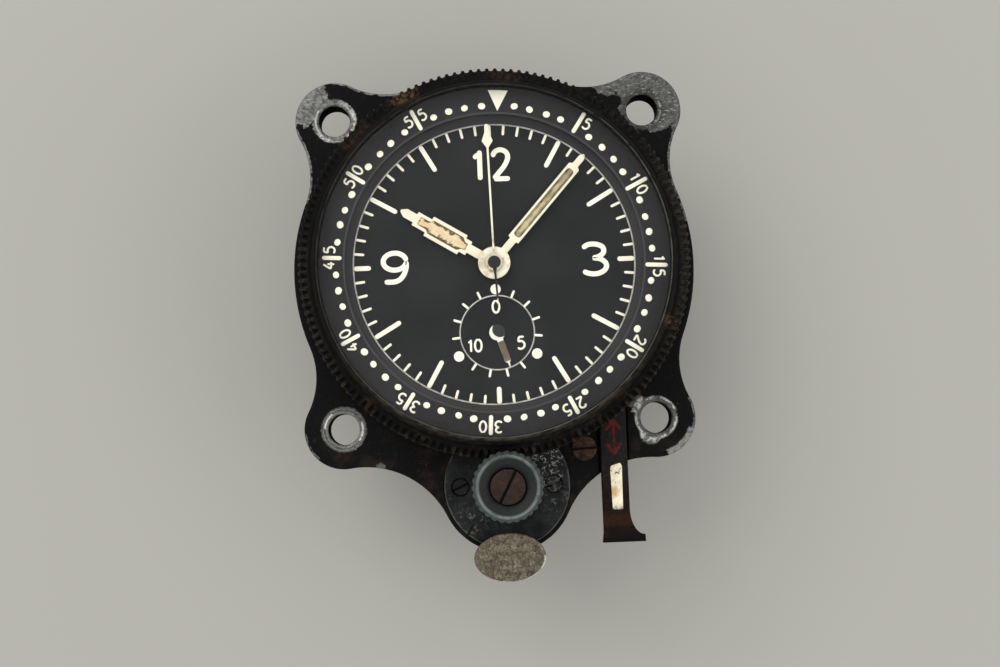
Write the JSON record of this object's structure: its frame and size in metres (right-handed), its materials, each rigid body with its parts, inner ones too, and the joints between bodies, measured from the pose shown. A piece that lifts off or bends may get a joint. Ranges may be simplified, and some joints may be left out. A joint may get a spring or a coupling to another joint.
{
  "type": "aircraft clock",
  "caption": "Small panel-mounted aircraft clock with a four-eared flange, knurled turning bezel, winding knob, setting lever, slanted stop pusher and a seconds counter dial.",
  "frame": {"origin": "on the dial's axis, at the back of the flange that seats on the panel", "axes": "+Z out of the dial towards the viewer, +Y to twelve o'clock, +X to three o'clock"},
  "size_m": [0.062, 0.0795, 0.0399],
  "materials": {
    "case_black": "satin black paint worn to bare metal at the ears",
    "can_black": "dull black coating",
    "bezel_black": "black paint with brown rust",
    "clear_glass": "clear, lightly scratched",
    "dial_black": "matt black with off-white markings",
    "hand_ivory": "ivory paint",
    "lume_cream": "aged luminous paint, chipped",
    "lume_olive": "aged dark luminous paint",
    "knob_plastic": "grey-green moulded plastic, rubbed pale at the ribs",
    "rusty_steel": "brown rusted slotted screw",
    "lever_brown": "black paint over brown tarnish",
    "pusher_nickel": "tarnished speckled nickel",
    "seal_rubber": "black seal",
    "steel": "bright steel",
    "spring_steel": "blued spring steel",
    "brass": "plain brass"
  },
  "bodies": {
    "case": {"flange_body": "case_black", "rear_case": "can_black", "rear_case_gasket": "seal_rubber", "rear_case_screws": "steel", "bezel_spring_ring": "spring_steel", "cover_plate": "case_black", "cover_plate_screws": "case_black", "lever_guide_screw": "rusty_steel", "pusher_bush": "brass", "pusher_spring": "spring_steel", "dial": "dial_black", "main_plate": "brass", "movement_screws": "steel", "rear_plate": "brass", "plate_pillars": "brass", "plate_screws": "steel", "stop_bridge": "brass", "stop_bridge_screws": "steel", "hairspring": "spring_steel", "winding_wheel_screw": "steel"},
    "bezel_group": {"bezel": "bezel_black", "glass": "clear_glass", "glass_seal": "seal_rubber", "glass_holding_ring": "steel", "minute_ring": "dial_black"},
    "knob_group": {"winding_knob": "knob_plastic", "winding_knob_screw": "rusty_steel", "winding_shaft": "steel"},
    "winding_idler": {"winding_wheel": "brass"},
    "ratchet_group": {"ratchet_wheel": "steel", "barrel_arbor": "steel"},
    "click_pawl": {"click": "steel"},
    "lever_group": {"setting_lever": "lever_brown", "lever_lume": "lume_cream"},
    "pusher_group": {"stop_pusher": "pusher_nickel"},
    "minute_group": {"minute_hand": "hand_ivory", "minute_hand_lume": "lume_olive", "cannon_pinion": "steel"},
    "motion_group": {"minute_wheel": "brass"},
    "hour_group": {"hour_wheel": "brass", "hour_hand": "hand_ivory", "hour_hand_lume": "lume_cream"},
    "sweep_group": {"sweep_hand": "hand_ivory", "sweep_arbor": "steel"},
    "carrier_group": {"counter_carrier": "brass"},
    "counter_group": {"counter_wheel": "brass", "counter_hand": "lume_olive"},
    "barrel_group": {"barrel": "brass", "mainspring": "spring_steel"},
    "centre_group": {"centre_wheel": "brass"},
    "third_group": {"third_wheel": "brass"},
    "fourth_group": {"fourth_wheel": "brass"},
    "escape_group": {"escape_wheel": "steel"},
    "pallet_group": {"pallet_lever": "steel"},
    "balance_group": {"balance_wheel": "brass"}
  },
  "joints": [
    {"name": "bezel_turn", "type": "hinge", "parent": "case", "child": "bezel_group", "pos_m": [0, 0, 0.01], "axis": [0, 0, -1], "continuous": true},
    {"name": "knob_turn", "type": "hinge", "parent": "case", "child": "knob_group", "pos_m": [0.0007, -0.03349, 0.01], "axis": [0, 0, -1], "continuous": true},
    {"name": "winding_idler_turn", "type": "hinge", "parent": "case", "child": "winding_idler", "pos_m": [0.0004, -0.02349, 0.0034], "axis": [0, 0, -1], "continuous": true},
    {"name": "ratchet_turn", "type": "hinge", "parent": "case", "child": "ratchet_group", "pos_m": [0, -0.01, 0.0034], "axis": [0, 0, -1], "continuous": true},
    {"name": "click_lift", "type": "hinge", "parent": "case", "child": "click_pawl", "pos_m": [-0.00947, -0.00655, 0.0032], "axis": [0, 0, 1], "range_deg": [0, 8], "stiffness_Nm_per_rad": 0.001, "springref_deg": -5.73},
    {"name": "lever_slide", "type": "slide", "parent": "case", "child": "lever_group", "axis": [0, -1, 0], "range_m": [0, 0.0035]},
    {"name": "pusher_press", "type": "slide", "parent": "case", "child": "pusher_group", "axis": [0, 0.7071, -0.7071], "range_m": [0, 0.0014], "stiffness_N_per_m": 800, "springref_m": -0.0008},
    {"name": "minute_hand_turn", "type": "hinge", "parent": "case", "child": "minute_group", "pos_m": [0, 0, 0.009], "axis": [0, 0, -1], "continuous": true},
    {"name": "minute_wheel_turn", "type": "hinge", "parent": "case", "child": "motion_group", "pos_m": [-0.00308, 0.00533, 0.008], "axis": [0, 0, -1], "continuous": true},
    {"name": "hour_hand_turn", "type": "hinge", "parent": "case", "child": "hour_group", "pos_m": [0, 0, 0.009], "axis": [0, 0, -1], "continuous": true},
    {"name": "sweep_hand_turn", "type": "hinge", "parent": "case", "child": "sweep_group", "pos_m": [0, 0, 0.009], "axis": [0, 0, -1], "continuous": true},
    {"name": "counter_carrier_turn", "type": "hinge", "parent": "case", "child": "carrier_group", "pos_m": [0.00836, -0.00564, -0.01], "axis": [0, 0, -1], "continuous": true},
    {"name": "counter_hand_turn", "type": "hinge", "parent": "case", "child": "counter_group", "pos_m": [0.00005, -0.01045, 0.009], "axis": [0, 0, -1], "continuous": true},
    {"name": "fourth_wheel_turn", "type": "hinge", "parent": "case", "child": "fourth_group", "pos_m": [-0.00172, 0.00913, -0.001], "axis": [0, 0, -1], "continuous": true},
    {"name": "third_wheel_turn", "type": "hinge", "parent": "case", "child": "third_group", "pos_m": [0.00546, 0.00651, -0.001], "axis": [0, 0, -1], "continuous": true},
    {"name": "centre_wheel_turn", "type": "hinge", "parent": "case", "child": "centre_group", "pos_m": [0, 0, -0.001], "axis": [0, 0, -1], "continuous": true},
    {"name": "barrel_turn", "type": "hinge", "parent": "case", "child": "barrel_group", "pos_m": [0, -0.01, -0.002], "axis": [0, 0, -1], "continuous": true},
    {"name": "escape_wheel_turn", "type": "hinge", "parent": "case", "child": "escape_group", "pos_m": [-0.00793, 0.00687, -0.001], "axis": [0, 0, -1], "continuous": true},
    {"name": "pallet_rock", "type": "hinge", "parent": "case", "child": "pallet_group", "pos_m": [-0.00798, 0.00257, 0.001], "axis": [0, 0, -1], "range_deg": [-5, 5]},
    {"name": "balance_swing", "type": "hinge", "parent": "case", "child": "balance_group", "pos_m": [-0.014, -0.001, -0.002], "axis": [0, 0, -1], "range_deg": [-200, 200], "stiffness_Nm_per_rad": 0.000002}
  ],
  "couplings": [
    {"joint": "winding_idler_turn", "follows": "knob_turn", "ratio": -0.66667},
    {"joint": "ratchet_turn", "follows": "knob_turn", "ratio": 0.53333},
    {"joint": "minute_wheel_turn", "follows": "minute_hand_turn", "ratio": -0.33333},
    {"joint": "hour_hand_turn", "follows": "minute_hand_turn", "ratio": 0.083333},
    {"joint": "counter_carrier_turn", "follows": "sweep_hand_turn", "ratio": -0.2},
    {"joint": "counter_hand_turn", "follows": "sweep_hand_turn", "ratio": 0.066667},
    {"joint": "escape_wheel_turn", "follows": "fourth_wheel_turn", "ratio": -10},
    {"joint": "third_wheel_turn", "follows": "fourth_wheel_turn", "ratio": -0.125},
    {"joint": "centre_wheel_turn", "follows": "fourth_wheel_turn", "ratio": 0.016667},
    {"joint": "barrel_turn", "follows": "fourth_wheel_turn", "ratio": -0.0029412}
  ]
}
